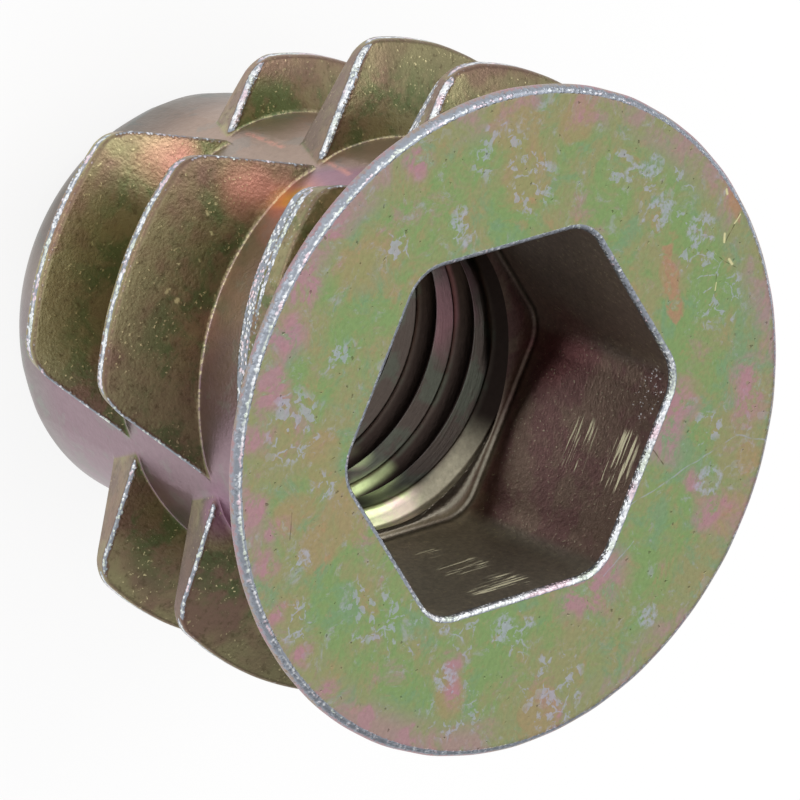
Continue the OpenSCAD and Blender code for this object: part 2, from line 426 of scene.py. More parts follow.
    def nearest_turn(self, theta, z):
        """What of the nearest turn of the thread doesn't depend on the radius."""
        t = self.t
        turn = np.floor((z - self.phase) / self.pitch - theta / 360 + self.rows_below)
        along = theta + 360 * turn
        crest_z = self.phase + self.pitch * along / 360
        lobe = np.round(along / self.lobe_pitch) * self.lobe_pitch
        full = self.envelope_r(self.phase + self.pitch * lobe / 360)
        side = np.sign(along - lobe)
        arc = np.radians(along) * full
        return {
            "dz": z - crest_z + self.broad(arc, 2.0) * 0.02 + self.fine(arc, 1.0) * 0.01,
            "crest_z": crest_z,
            "off": np.radians(np.abs(along - lobe)),
            "full": full,
            "extra": self.end_extra(lobe, side),
            "lobe": np.mod(lobe, 360),
            "side": side,
            "top": np.minimum(full, self.crest_limits(crest_z)) + self.broad(arc, 1.0) * 0.015
            + self.fine(arc, 0.0) * 0.012,
        }

    def faces(self, r, f):
        """Signed distances from a fin's crest, upper flank, lower flank and end wall, negative inside."""
        up, low, half = self.t["flank_upper"], self.t["flank_lower"], self.t["crest_w"] / 2
        rise = f["full"] - r
        upper = (f["dz"] - half) * math.cos(up) - rise * math.sin(up)
        lower = (-f["dz"] - half) * math.cos(low) - rise * math.sin(low)
        reach, lean = self.end_plane(f["crest_z"], f["extra"])
        end = (r * np.sin(self.t["lobe_draft"] + f["off"]) - reach - lean * f["dz"]) / math.hypot(1, lean)
        return r - f["top"], upper, lower, end

    def distance(self, r, core, f):
        """Signed distance from the surface, negative inside."""
        t = self.t
        crest, upper, lower, end = self.faces(r, f)
        fin = round_max(crest, end, t["end_round"])
        fin = round_max(fin, upper, t["crest_round"])
        fin = round_max(fin, lower, t["crest_round"])
        return round_min(fin, r - core, t["root_round"])

    def surface(self, theta, z):
        """Radius, outward normal (radial, round, up) and the marks at each angle and height."""
        core, f = self.core_surface(theta, z), self.nearest_turn(theta, z)
        inside, outside = core - 0.3, np.full_like(core, self.t["full_d"] / 2 + 0.2)
        for _ in range(24):
            middle = (inside + outside) / 2
            solid = self.distance(middle, core, f) < 0
            inside, outside = np.where(solid, middle, inside), np.where(solid, outside, middle)
        r = (inside + outside) / 2

        def at(radius, angle, height):
            return self.distance(radius, self.core_surface(angle, height), self.nearest_turn(angle, height))

        step = NORMAL_STEP
        turned = np.degrees(step / r)
        normal = np.stack([
            at(r + step, theta, z) - at(r - step, theta, z),
            at(r, theta + turned, z) - at(r, theta - turned, z),
            at(r, theta, z + step) - at(r, theta, z - step),
        ], -1)
        return r, normal, self.wear_and_highlight_marks(r, core, f)

    def wear_and_highlight_marks(self, r, core, f):
        """The marks by which the finish knows the edges and crests that it paints as worn metal with
        painted highlights, how far a point stands out of the core, the line along a fin's root, where it
        paints a highlight, and the lobes' end walls."""
        rise = np.clip((r - core) / np.maximum(f["full"] - core, 0.4), 0, 1)
        crest, upper, lower, end = self.faces(r, f)
        outer = round_max(crest, end, self.t["end_round"])
        at_end = soft_step(end - crest, -0.15, 0.1)
        near_outer = np.exp(-np.abs(outer) / 0.03)

        width, bright = np.full_like(r, 0.05), np.full_like(r, 0.8)
        for (lobe, side), (wide, light) in self.end_wear_and_highlight.items():
            here = (f["lobe"] == lobe) & (f["side"] == side)
            width, bright = np.where(here, wide, width), np.where(here, light, bright)
        width, bright = 0.03 + (width - 0.03) * at_end, 0.4 + (bright - 0.4) * at_end
        edge = bright * np.exp(-np.maximum(np.abs(upper) + np.abs(outer) - width, 0) / 0.035)
        edge = edge * soft_step(rise, 0.01, 0.08)

        # across the crest: -1 at the tip's side and 1 at the flange's, and beyond where the run-out cuts it
        across = (upper - lower) / self.t["crest_w"]
        # The crest's mark for worn metal with a painted highlight, fullest in its middle.
        top = near_outer * (1 - at_end) * soft_step(rise, 0.2, 0.5)
        top = top * np.maximum(soft_step(np.abs(across), 0.6, 0.1), 0.42 * soft_step(across, 0.2, -0.1))
        cut = soft_step(f["full"] - f["top"], 0.08, 0.2) * (0.25 + 0.5 * soft_step(across, -0.2, -1.2))
        top = np.maximum(top, cut * near_outer * soft_step(rise, 0.01, 0.05))

        # The root line, along which the finish paints a highlight.
        foot = np.abs(r - core) + np.abs(upper) + np.maximum(end + 0.04, 0) * 3
        root = np.exp(-np.maximum(foot - 0.02, 0) / 0.015) * soft_step(f["top"] - core, 0.1, 0.3)
        wall = soft_step(end - np.maximum(upper, crest), 0.02, 0.12) * soft_step(rise, 0.0, 0.04)
        return np.stack([edge, rise, top, root, wall], -1)


class BoreForm:
    """The bore with its machine thread, opened by a chamfer at each end."""

    slope = math.tan(math.radians(30))  # of the thread's two flanks
    mouth_round = 0.12  # over which the mouth's chamfer and the thread blend

    def __init__(self, body, screw, columns):
        self.b, self.s, self.columns = in_mm(body), in_mm(screw), columns
        self.pitch, self.phase = self.s["pitch"], self.s["phase_z"]
        self.minor, self.major = self.b["bore_d"] / 2, self.s["major_d"] / 2
        self.floor_z = self.b["body_length"] - self.b["hex_depth"]

    def grid(self, turns):
        """Angles and heights of the mesh's points, by column and then by turn and row."""
        theta = self.ring_angles()
        rise = (self.phase + self.pitch * turns[:, None] + self.rows()[None]).ravel()
        z = rise[None, :] + self.pitch * theta[:, None] / 360
        return np.broadcast_to(theta[:, None], z.shape), z

    def ring_angles(self):
        return np.arange(self.columns) * 360 / self.columns

    def rows(self):
        """Heights of one pitch's rows from the middle of a crest."""
        half = self.s["crest_w"] / 2
        root = half + (self.major - self.minor) * self.slope
        upper = [0.0, half - 0.06, half, half + 0.05, (half + root) / 2, root - 0.04, root + 0.02]
        return np.array([-self.pitch / 2, *(-u for u in upper[:0:-1]), *upper])

    def radius(self, theta, z):
        turn = (z - self.phase) / self.pitch - theta / 360
        dz = np.abs(turn - np.round(turn)) * self.pitch
        flank = (dz - self.s["crest_w"] / 2) / self.slope + self.minor
        e = self.s["edge_round"]
        groove = -soft_low(-soft_low(flank, self.major, e), -self.minor, e)
        chamfer = self.b["bore_chamfer"]
        mouth = self.minor + chamfer - (self.floor_z - z) * self.s["mouth_slope"]
        foot = self.minor + chamfer - z
        return np.maximum(-soft_low(-groove, -mouth, self.mouth_round), foot)

    def surface(self, theta, z):
        """Radius, normal towards the axis and the marks at each angle and height."""
        r, step = self.radius(theta, z), NORMAL_STEP
        turned = np.degrees(step / r)
        normal = np.stack([
            np.full_like(r, -2 * step),
            self.radius(theta + turned, z) - self.radius(theta - turned, z),
            self.radius(theta, z + step) - self.radius(theta, z - step),
        ], -1)
        depth = np.clip((r - self.minor) / (self.major - self.minor), 0, 1)
        return r, normal, np.stack([0 * r, depth, 0 * r, 0 * r, 0 * r], -1)


class MeshMaker:
    """Collects rings of points and the faces between them, in millimetres."""

    sharp_cosine = math.cos(math.radians(38))  # faces that turn further than this keep a sharp edge

    def __init__(self):
        self.points, self.normals, self.marks = [], [], []
        self.faces, self.parts = [], []
        self.count = 0

    def add(self, radius, z, angles, normal=None, edge=0.0, marks=None):
        """Adds points given round the axis and returns their numbers. A point with no normal gets the
        one of its faces."""
        a = np.radians(angles)
        ones = np.ones(len(a))
        self.points.append(np.c_[radius * np.cos(a), radius * np.sin(a), z * ones])
        if normal is None:
            self.normals.append(np.zeros((len(a), 3)))
        else:
            out, across, up = normal.T
            x, y = out * np.cos(a) - across * np.sin(a), out * np.sin(a) + across * np.cos(a)
            self.normals.append(np.c_[x, y, up])
        if marks is None:
            marks = np.zeros((len(a), len(OuterForm.mark_names)))
            marks[:, 0] = edge
        self.marks.append(marks)
        self.count += len(a)
        return np.arange(self.count - len(a), self.count)

    def quads(self, a, b, c, d, part):
        """Quads a-b-c-d. A corner that repeats is dropped, and so is a face with fewer than three."""
        for quad in np.c_[a, b, c, d].tolist():
            face = [v for i, v in enumerate(quad) if v != quad[i - 1]]
            if len(face) > 2 and len(set(face)) == len(face):
                self.faces.append(face)
                self.parts.append(part)

    def band(self, first, second, part):
        """Faces between two closed rings of the same number of points, or of twice as many."""
        if len(first) == len(second):
            self.quads(first, np.roll(first, -1), np.roll(second, -1), second, part)
            return
        fine, coarse = (first, second) if len(first) > len(second) else (second, first)
        for k in range(len(coarse)):
            a, b, c = fine[2 * k], fine[2 * k + 1], fine[(2 * k + 2) % len(fine)]
            p, q = coarse[k], coarse[(k + 1) % len(coarse)]
            for face in ([a, b, p], [b, q, p], [b, c, q]):
                self.faces.append(face if fine is first else face[::-1])
                self.parts.append(part)

    def helical_grid(self, form, low_z, high_z, part, inward=False):
        """Covers a threaded surface between two heights. The rows follow the thread, so the last column
        joins the first one a pitch higher. Returns its lowest and its highest ring."""
        turns = np.arange(math.floor((low_z - form.phase) / form.pitch) - 2,
                          math.ceil((high_z - form.phase) / form.pitch) + 2)
        theta, z = form.grid(turns)
        angles = form.ring_angles()
        rows, n = z.shape[1] // len(turns), len(angles)
        gap = 0.012  # rows that come closer than this to an end join its ring
        keep = (z > low_z + gap) & (z < high_z - gap)
        r, normal, marks = form.surface(theta[keep], z[keep])
        numbers = np.full(z.shape, -1)
        numbers[keep] = self.add(r, z[keep], theta[keep], normal, marks=marks)
        rings = []
        for level in (low_z, high_z):
            r, normal, marks = form.surface(angles, np.full(n, level))
            rings.append(self.add(r, level, angles, normal, marks=marks))
        numbers = np.where(z <= low_z + gap, rings[0][:, None], numbers)
        numbers = np.where(z >= high_z - gap, rings[1][:, None], numbers)
        for i in range(n):
            if i < n - 1:
                here, there = numbers[i], numbers[i + 1]
            else:
                here, there = numbers[i][:-rows], numbers[0][rows:]
            if inward:
                self.quads(here[:-1], here[1:], there[1:], there[:-1], part)
            else:
                self.quads(here[:-1], there[:-1], there[1:], here[1:], part)
        return rings

    def corner_normals(self, mesh):
        """The given normals, and elsewhere those of the faces, larger faces counting for more."""
        area = np.empty(len(mesh.polygons), np.float32)
        mesh.polygons.foreach_get("area", area)
        face = np.empty(len(mesh.polygons) * 3, np.float32)
        mesh.polygons.foreach_get("normal", face)
        face = face.reshape(-1, 3)
        sides = np.empty(len(mesh.polygons), np.int32)
        mesh.polygons.foreach_get("loop_total", sides)
        corner = np.empty(len(mesh.loops), np.int32)
        mesh.loops.foreach_get("vertex_index", corner)
        owner = np.repeat(np.arange(len(sides)), sides)
        joined = np.zeros((len(mesh.vertices), 3))
        for axis in range(3):
            share = (face[owner, axis] * area[owner]).astype(float)
            joined[:, axis] = np.bincount(corner, share, len(joined))
        given = np.concatenate(self.normals)
        known = np.abs(given).sum(1) > 0
        joined[known] = given[known]
        joined /= np.maximum(np.linalg.norm(joined, axis=1, keepdims=True), 1e-12)
        normals = joined[corner]
        sharp = ((normals * face[owner]).sum(1) < self.sharp_cosine) & ~known[corner]
        normals[sharp] = face[owner][sharp]
        return normals

    def build(self, name, materials):
        mesh = bpy.data.meshes.new(name)
        points = np.concatenate(self.points) * MM
        mesh.from_pydata(points.tolist(), [], self.faces)
        for material in materials:
            mesh.materials.append(material)
        mesh.polygons.foreach_set("material_index", np.array(self.parts, np.int32))
        mesh.polygons.foreach_set("use_smooth", np.ones(len(self.faces), bool))
        marks = np.concatenate(self.marks).astype(np.float32)
        for column, mark in enumerate(OuterForm.mark_names):
            mesh.attributes.new(mark, "FLOAT", "POINT").data.foreach_set("value", marks[:, column].copy())
        mesh.update()
        mesh.normals_split_custom_set(self.corner_normals(mesh).tolist())
        piece = bpy.data.objects.new(name, mesh)
        bpy.context.scene.collection.objects.link(piece)
        return piece


def rounded_hexagon(angles, half_flats, corner_r):
    """Radius of a hexagon with rounded corners, two of them on the X axis, at each angle."""
    centre = (half_flats - corner_r) / math.cos(math.pi / 6)
    off = np.radians(np.abs(angles - 60 * np.round(angles / 60)))
    limit = math.atan2(corner_r * 0.5, centre + corner_r * math.cos(math.pi / 6))
    arc = centre * np.cos(off) + np.sqrt(np.maximum(corner_r**2 - (centre * np.sin(off)) ** 2, 0))
    return np.where(off < limit, arc, half_flats / np.cos(math.pi / 6 - off))


def arc_points(centre_r, centre_z, radius, start, end, count):
    """Points of an arc in the plane of a section, from one angle to another, in degrees."""
    for a in np.radians(np.linspace(start, end, count)):
        yield centre_r + radius * math.cos(a), centre_z + radius * math.sin(a)


def add_flange(maker, outer, below, columns):
    """Neck, underside and rim of the flange, above the neck's ring. Returns the rim's top ring, the radius
    where the rim starts and the angles of the rings, which come to be evenly spaced."""
    b = outer.b
    even = np.arange(len(columns)) * 360 / len(columns)
    rim, top, slope = b["flange_rim_t"] / 2, b["body_length"], b["flange_back_angle"]
    rim_r, rim_z = b["flange_d"] / 2 - rim, top - rim
    fillet, hub_z = 0.28, 11.75

    def underside(r):
        return rim_z - rim / math.cos(slope) - (rim_r - r) * math.tan(slope)

    hub = outer.core_r(hub_z) + fillet
    centre_z = underside(hub) - fillet / math.cos(slope)
    profile = list(arc_points(hub, centre_z, fillet, 180, 90 + math.degrees(slope), 5))
    start_r = profile[-1][0]
    for share in (0.35, 0.7):
        r = on_line(share, 0, start_r, 1, rim_r)
        profile.append((r, underside(r)))
    for k, (r, z) in enumerate(profile):
        angles = columns + (even - columns) * (k + 1) / len(profile)
        this = maker.add(r, z, angles)
        maker.band(below, this, OUTSIDE)
        below = this

    # the rim is dented, and painted worn with a painted highlight, most of all on the side that faces -Y
    dents = 0.018 * outer.fine(np.radians(angles) * b["flange_d"] / 2, 0.5)
    sunk = 0.012
    turned = 0.5 - 0.5 * np.sin(np.radians(angles))
    wear_and_highlight = (0.16, 0.18, 0.2, 0.22, 0.25, 0.29, 0.36, 0.52, 0.86, 0.3)
    for k, (r, z) in enumerate(arc_points(rim_r, rim_z, rim, math.degrees(slope) - 90, 90, len(wear_and_highlight))):
        dented = r + dents * (r - rim_r) / rim - sunk
        this = maker.add(dented, z, angles, edge=wear_and_highlight[k] * (0.35 + 0.65 * turned))
        maker.band(below, this, FACE if k > 1 else OUTSIDE)
        below = this
    return below, rim_r, angles


def add_socket(maker, b, floor_z, below, rim_r, angles):
    """Front of the flange, and walls and floor of the socket. Returns the ring round the floor."""
    top, half, corner, bevel = b["body_length"], b["hex_across_flats"] / 2, b["hex_corner_r"], b["hex_bevel"]
    mouth = rounded_hexagon(angles, half + bevel, corner + bevel)
    for r in (rim_r - 0.06, rim_r - 1.0, (rim_r + mouth) / 2, mouth + 0.4, mouth + 0.05):
        this = maker.add(r, top, angles)
        maker.band(below, this, FACE)
        below = this
    # The bevel is painted worn with a painted highlight, brightest on the side towards 60 degrees.
    worn = 0.45 + 0.43 * soft_step(np.cos(np.radians(angles - 60)), 0.0, 0.7)
    for k, (out, z) in enumerate(arc_points(bevel, top - bevel, bevel, 90, 180, 5)):
        this = maker.add(rounded_hexagon(angles, half + out, corner + out), z, angles, edge=worn)
        maker.band(below, this, FACE if k < 3 else SOCKET)
        below = this
    fillet = 0.12
    walls = [(0.0, z) for z in (top - bevel - 0.06, *np.linspace(top - 0.7, floor_z + fillet, 4))]
    walls += [(out - fillet, z) for out, z in arc_points(0, floor_z + fillet, fillet, 0, -90, 5)][1:]
    for out, z in walls:
        this = maker.add(rounded_hexagon(angles, half + out, corner + out), z, angles)
        maker.band(below, this, SOCKET)
        below = this
    return below


def build_insert(body, thread, screw, materials):
    """The whole casting as one closed mesh. The bore has half as many columns as the rest."""
    outer = OuterForm(body, thread)
    columns = outer.ring_angles()
    bore = BoreForm(body, screw, len(columns) // 2)
    maker = MeshMaker()

    tip_z, tip_round = 0.02, 0.03
    low, high = maker.helical_grid(outer, tip_z, outer.lands_fade[1], OUTSIDE)
    tip_r = outer.core_surface(columns, np.full(len(columns), tip_z)) - tip_round
    tip_ring = maker.add(tip_r, 0.0, columns)
    maker.band(tip_ring, low, OUTSIDE)
    rim_ring, rim_r, angles = add_flange(maker, outer, high, columns)
    floor_ring = add_socket(maker, outer.b, bore.floor_z, rim_ring, rim_r, angles)
    foot, mouth = maker.helical_grid(bore, 0.0, bore.floor_z, BORE, inward=True)
    maker.band(floor_ring, mouth, SOCKET)
    maker.band(foot, tip_ring, OUTSIDE)
    return maker.build("insert_body_cast", materials)


# ---------------------------------------------------------------- places


def on_front(marks):
    """Spots (x, y, radius) or lines (x1, y1, x2, y2, width), put at the height of the flange's front."""
    top = (HIGH.z - LOW.z) / MM
    placed = []
    for *ends, size in marks:
        points = [(x, y, top) for x, y in zip(ends[::2], ends[1::2])]
        placed.append((*(v for point in points for v in point), size))
    return placed


# Patches in the chromate's colour, marks of handling, and painted glints and reflections, listed in
# millimetres. A spot is (x, y, z, radius) and a line is (x1, y1, z1, x2, y2, z2, width).
# Hot spots on the flanks: the chromate's red and yellow tint, with a painted reflection of the lands.
HOT_SPOTS = [(-2.75, -4.95, 4.12, 0.65), (-2.8, -5.35, 7.42, 0.5), (-2.98, -4.55, 7.9, 0.55)]
HOT_CENTRES = [(-2.9, -4.62, 7.9, 0.3), (-3.05, -4.5, 8.05, 0.25)]
HOT_STREAKS = [(-3.97, -3.26, 4.21, -3.96, -3.43, 5.8, 0.11), (-3.98, -3.55, 7.5, -3.9, -3.75, 8.7, 0.13)]
# Painted glints on the flanks.
FLANK_GLINTS = [
    (0.05, -6.55, 7.51, 0.07), (0.16, -6.27, 7.62, 0.06), (-1.95, -6.16, 7.38, 0.06),
    (-1.55, -5.98, 7.51, 0.04), (-2.18, -6.03, 7.38, 0.05), (-0.84, -6.06, 7.59, 0.04),
    (-1.73, -6.45, 7.33, 0.04), (0.35, -6.63, 4.06, 0.045), (-0.35, -6.3, 4.12, 0.035),
    (-0.6, -6.52, 7.46, 0.04),
]
PLUM_SPOTS = [(-3.6, -4.03, 8.22, 0.6), (-3.7, -4.0, 8.9, 0.6), (4.2, -3.6, 8.6, 0.6)]

TAN_SPOTS = on_front([
    (-6.4, -3.2, 0.8), (-5.2, -2.2, 0.7), (-2.0, -5.8, 0.8), (-4.5, 2.7, 0.25), (-4.2, 3.0, 0.22),
    (-3.8, 3.4, 0.28), (-7.2, 3.6, 0.5), (6.3, 1.3, 0.5), (6.0, 4.0, 0.6), (3.2, -3.8, 0.8),
    (4.3, -4.1, 0.5), (0.2, 7.4, 0.6), (-1.2, 7.2, 0.4), (-6.8, -1.5, 0.5), (2.2, -4.9, 0.6),
    (3.6, -5.2, 0.5), (-6.6, 3.9, 0.35),
])
PINK_SPOTS = on_front([
    (-1.8, 4.5, 0.5), (-0.9, 4.6, 0.5), (0.3, 6.7, 0.45), (-3.0, 6.1, 0.35), (2.6, 4.3, 0.7),
    (3.2, 3.7, 0.5), (-2.6, -7.2, 0.4), (-1.2, -7.3, 0.45), (0.0, -7.2, 0.5), (1.2, -7.1, 0.45),
    (2.3, -6.9, 0.35), (3.8, -6.2, 0.3), (5.0, -5.3, 0.35), (5.9, -4.5, 0.25), (6.6, -3.4, 0.25),
    (7.1, -2.3, 0.28), (7.4, -0.9, 0.25), (7.5, 0.4, 0.22), (6.2, 1.3, 0.28), (-4.7, -5.5, 0.35),
    (4.1, -5.4, 0.3), (-0.2, 5.9, 0.3), (5.6, 1.1, 0.3), (-2.4, 6.6, 0.5),
])
GREY_SPOTS = on_front([
    (-5.9, 1.9, 0.35), (-6.6, 1.2, 0.3), (-6.2, 0.7, 0.3), (-5.4, 1.7, 0.35), (4.4, 2.0, 0.35),
    (4.2, 2.7, 0.25), (4.5, -4.4, 0.25), (4.8, 0.3, 0.25), (5.9, 0.9, 0.3), (-0.4, 6.3, 0.4),
    (3.0, 6.0, 0.3), (-3.7, -3.5, 0.35), (-5.7, 3.2, 0.4),
])
SCUFF_PLACES = on_front([
    (4.6, -4.4, 0.35), (5.1, -2.2, 0.8), (5.2, -0.7, 0.7), (4.4, 2.4, 0.6), (4.9, 1.1, 0.5),
    (6.5, 1.5, 0.8), (5.3, 4.1, 0.9), (-5.6, -3.3, 0.8), (-5.2, -2.0, 0.7), (-6.2, 0.2, 0.5),
    (-6.1, 2.0, 0.9), (-3.7, -3.5, 0.5), (-4.4, 4.5, 0.8), (-2.7, -5.1, 0.4), (0.0, -5.4, 0.5),
    (1.8, -6.0, 0.8), (5.8, -3.8, 0.5), (-1.5, 5.6, 0.5), (2.8, -4.6, 0.4), (-5.3, 3.2, 0.6),
])
ORANGE_BANDS = on_front([
    (-5.1, 2.4, -4.5, 2.75, 0.22), (-4.5, 2.75, -3.6, 3.45, 0.25), (-6.7, 3.7, -6.3, 4.1, 0.25),
])
FACE_SCRATCHES = on_front([
    (0.75, 4.3, -1.6, 6.6, 0.03), (-1.6, 6.6, -1.75, 7.5, 0.03), (2.5, 4.3, 1.5, 4.8, 0.025),
])
FACE_NICKS = on_front([
    (-0.6, 4.3, -0.35, 4.75, 0.025), (-4.9, 4.15, -4.4, 4.35, 0.02), (-5.3, 3.6, -5.15, 4.7, 0.018),
    (-6.35, 4.15, -5.6, 4.05, 0.02), (3.6, -5.2, 4.2, -4.95, 0.02), (2.1, -4.6, 2.4, -4.9, 0.018),
])
FACE_FLAKES = on_front([
    (-5.8, 3.95, -5.6, 4.02, 0.05), (-6.35, 4.2, -6.1, 4.1, 0.03), (-5.3, 4.35, -5.2, 4.5, 0.055),
    (-5.32, 3.75, -5.26, 3.95, 0.02), (-4.7, 4.25, -4.5, 4.3, 0.025), (-6.75, 3.5, -6.65, 3.6, 0.045),
])

STREAK_PLACES = [
    (-0.3, 4.18, 10.45, 0.45), (0.1, 4.18, 10.45, 0.45), (-0.35, 4.18, 11.95, 0.45),
    (0.2, 4.18, 11.95, 0.45), (3.5, 2.3, 9.1, 0.3), (3.6, 2.1, 10.35, 0.4), (3.35, 2.55, 10.3, 0.4),
    (3.75, 1.85, 11.8, 0.4), (3.4, 2.45, 11.75, 0.5),
]
SOCKET_REDS = [(-2.2, 3.9, 9.2, 0.8), (-1.6, 4.18, 8.6, 0.6)]
# Painted glints in the socket.
SOCKET_SPARKS = [(-1.8, 4.18, 12.35, 0.4), (-1.5, 4.18, 12.0, 0.35), (-2.0, 4.1, 12.1, 0.4)]
BORE_PINKS = [(-1.6, 3.1, 5.6, 0.6), (-2.2, 2.7, 6.2, 0.6), (-2.9, 1.9, 6.6, 0.7), (-0.6, -3.4, 3.0, 0.9)]
# Painted glints in the bore.
BORE_GLINTS = [
    (2.49, 2.46, 6.19, 0.45), (2.75, 2.2, 6.3, 0.45), (2.17, 2.75, 4.95, 0.35), (3.3, 1.6, 7.5, 0.5),
    (3.0, 2.2, 7.4, 0.5), (2.6, 2.6, 7.4, 0.4), (-3.0, 1.8, 2.4, 0.6),
]


# ---------------------------------------------------------------- finishes


class Value:
    """A number that varies over a surface. Maths on it adds the nodes."""

    def __init__(self, finish, socket):
        self.finish, self.socket = finish, socket

    def __add__(self, other):
        return self.finish.maths("ADD", self, other)

    def __sub__(self, other):
        return self.finish.maths("SUBTRACT", self, other)

    def __rsub__(self, other):
        return self.finish.maths("SUBTRACT", other, self)

    def __mul__(self, other):
        return self.finish.maths("MULTIPLY", self, other)

    def __abs__(self):
        return self.finish.maths("ABSOLUTE", self)

    __radd__, __rmul__ = __add__, __mul__


class Nodes:
    """A node tree under construction."""

    def __init__(self, tree):
        self.tree = tree
        self.made = 0

    def node(self, kind, settings=None, inputs=None):
        """A node of that type. Its settings are set first, then the values or links of its sockets."""
        node = self.tree.nodes.new(kind)
        node.location = -260 - 190 * (self.made // 9), 500 - 190 * (self.made % 9)
        self.made += 1
        for key, value in (settings or {}).items():
            setattr(node, key, value)
        for key, value in (inputs or {}).items():
            self.feed(node.inputs[key], value)
        return node

    def feed(self, socket, value):
        if isinstance(value, Value):
            value = value.socket
        if isinstance(value, bpy.types.NodeSocket):
            self.tree.links.new(value, socket)
        else:
            socket.default_value = (*value, 1) if socket.type == "RGBA" and len(value) == 3 else value

    def maths(self, operation, *values):
        node = self.node("ShaderNodeMath", {"operation": operation}, dict(enumerate(values)))
        return Value(self, node.outputs[0])

    def vector(self, operation, first, second=None, **named):
        """Vector maths. What comes out is a number for a distance, a length or a dot product."""
        inputs = {0: first, **named}
        if second is not None:
            inputs[1] = second
        node = self.node("ShaderNodeVectorMath", {"operation": operation}, inputs)
        if operation in ("DISTANCE", "DOT_PRODUCT", "LENGTH"):
            return Value(self, node.outputs["Value"])
        return node.outputs["Vector"]

    def rays(self, *kinds):
        """Whether a ray is of each kind, such as Camera."""
        path = self.node("ShaderNodeLightPath").outputs
        return [Value(self, path[f"Is {kind} Ray"]) for kind in kinds]

    def split(self, place):
        """The three parts of a vector."""
        node = self.node("ShaderNodeSeparateXYZ", None, {0: place})
        return [Value(self, out) for out in node.outputs]

    def soft(self, value, low, high):
        """0 below low and 1 above high, or the other way round where high is less."""
        limits = {"Value": value, "From Min": min(low, high), "From Max": max(low, high)}
        limits.update({"To Min": 0.0, "To Max": 1.0} if high > low else {"To Min": 1.0, "To Max": 0.0})
        node = self.node("ShaderNodeMapRange", {"interpolation_type": "SMOOTHSTEP"}, limits)
        return Value(self, node.outputs[0])

    def mix(self, first, second, share):
        node = self.node("ShaderNodeMix", {"data_type": "RGBA"}, {0: share, 6: first, 7: second})
        return node.outputs[2]

    def shade(self, colour_in, amount):
        """The colour times a number."""
        return self.vector("SCALE", colour_in, Scale=amount)


class Finish(Nodes):
    """A material under construction. Places are in millimetres."""

    def __init__(self, name):
        self.material = bpy.data.materials.new(name)
        self.material.use_nodes = True
        super().__init__(self.material.node_tree)
        self.surface = self.tree.nodes["Principled BSDF"]
        place = self.node("ShaderNodeTexCoord").outputs["Object"]
        self.at = self.vector("SCALE", place, Scale=1 / MM)

    def shifted(self, at, shift):
        """The places moved far away, so that noise there has nothing in common with noise here."""
        return self.vector("ADD", at, (shift * 7.3, -shift * 5.1, shift * 3.7)) if shift else at

    def noise(self, at, scale, detail=2.0, roughness=0.5, shift=0.0):
        """Cloudy noise between 0 and 1 with about that many features a millimetre."""
        where = self.shifted(at, shift)
        inputs = {"Vector": where, "Scale": scale, "Detail": detail, "Roughness": roughness}
        return Value(self, self.node("ShaderNodeTexNoise", None, inputs).outputs[0])

    def wander(self, at, scale, reach, shift=0.0):
        """The places, each moved up to that reach by noise."""
        inputs = {"Vector": self.shifted(at, shift), "Scale": scale, "Detail": 1.0}
        noise = self.node("ShaderNodeTexNoise", None, inputs)
        off = self.vector("SUBTRACT", noise.outputs["Color"], (0.5, 0.5, 0.5))
        return self.vector("ADD", at, self.vector("SCALE", off, Scale=2 * reach))

    def cells(self, at, scale, feature="F1"):
        """Small angular cells: a number for each, or with DISTANCE_TO_EDGE how far their edges are."""
        node = self.node("ShaderNodeTexVoronoi", {"feature": feature}, {"Vector": at, "Scale": scale})
        return Value(self, node.outputs["Color" if feature == "F1" else "Distance"])

    def beads(self, at, scale):
        """Small round grains, 1 in the middle of each and 0 between them."""
        moved = self.wander(at, scale * 0.4, 0.05)
        node = self.node("ShaderNodeTexVoronoi", None, {"Vector": moved, "Scale": scale})
        return self.soft(Value(self, node.outputs["Distance"]), 0.62, 0.2)

    def mark(self, name):
        """One of the mesh's own marks."""
        return Value(self, self.node("ShaderNodeAttribute", {"attribute_name": name}).outputs["Fac"])

    def spots(self, at, places, blur=0.9):
        """1 within round patches given as (x, y, z, radius), fading out over that share of the radius."""
        total = 0.0
        for x, y, z, radius in places:
            away = self.vector("DISTANCE", at, (x, y, z))
            total = self.soft(away, radius * (1 + blur / 2), radius * (1 - blur / 2)) + total
        return self.maths("MINIMUM", total, 1.0)

    def patches(self, at, places, ragged):
        """Patches with ragged edges, which that noise eats into."""
        return self.soft(self.spots(at, places, 1.5) + (ragged - 0.5) * 1.8, 0.35, 0.75)

    def strokes(self, at, lines, core=0.3):
        """1 along straight scratches given as (x1, y1, z1, x2, y2, z2, width), full to that share of it."""
        total = 0.0
        for x1, y1, z1, x2, y2, z2, width in lines:
            start, end = Vector((x1, y1, z1)), Vector((x2, y2, z2))
            half = (end - start) / 2
            from_middle = self.vector("SUBTRACT", at, tuple(start + half))
            along = abs(self.vector("DOT_PRODUCT", from_middle, tuple(half.normalized())))
            past = self.maths("MAXIMUM", along - half.length, 0.0)
            out = self.vector("LENGTH", from_middle)
            across = self.maths("SQRT", self.maths("MAXIMUM", out * out - along * along, 0.0))
            total = self.soft(across + past, width, width * core) + total
        return self.maths("MINIMUM", total, 1.0)

    def finish(self, base, roughness, height, depth, metallic=1.0):
        """Links the colour, the roughness and the relief, whose full height is in millimetres."""
        relief = {"Strength": 1.0, "Distance": depth * MM, "Height": height}
        bump = self.node("ShaderNodeBump", None, relief).outputs[0]
        fed = {"Base Color": base, "Roughness": roughness, "Normal": bump, "Metallic": metallic}
        for name, value in fed.items():
            self.feed(self.surface.inputs[name], value)
        return self.material


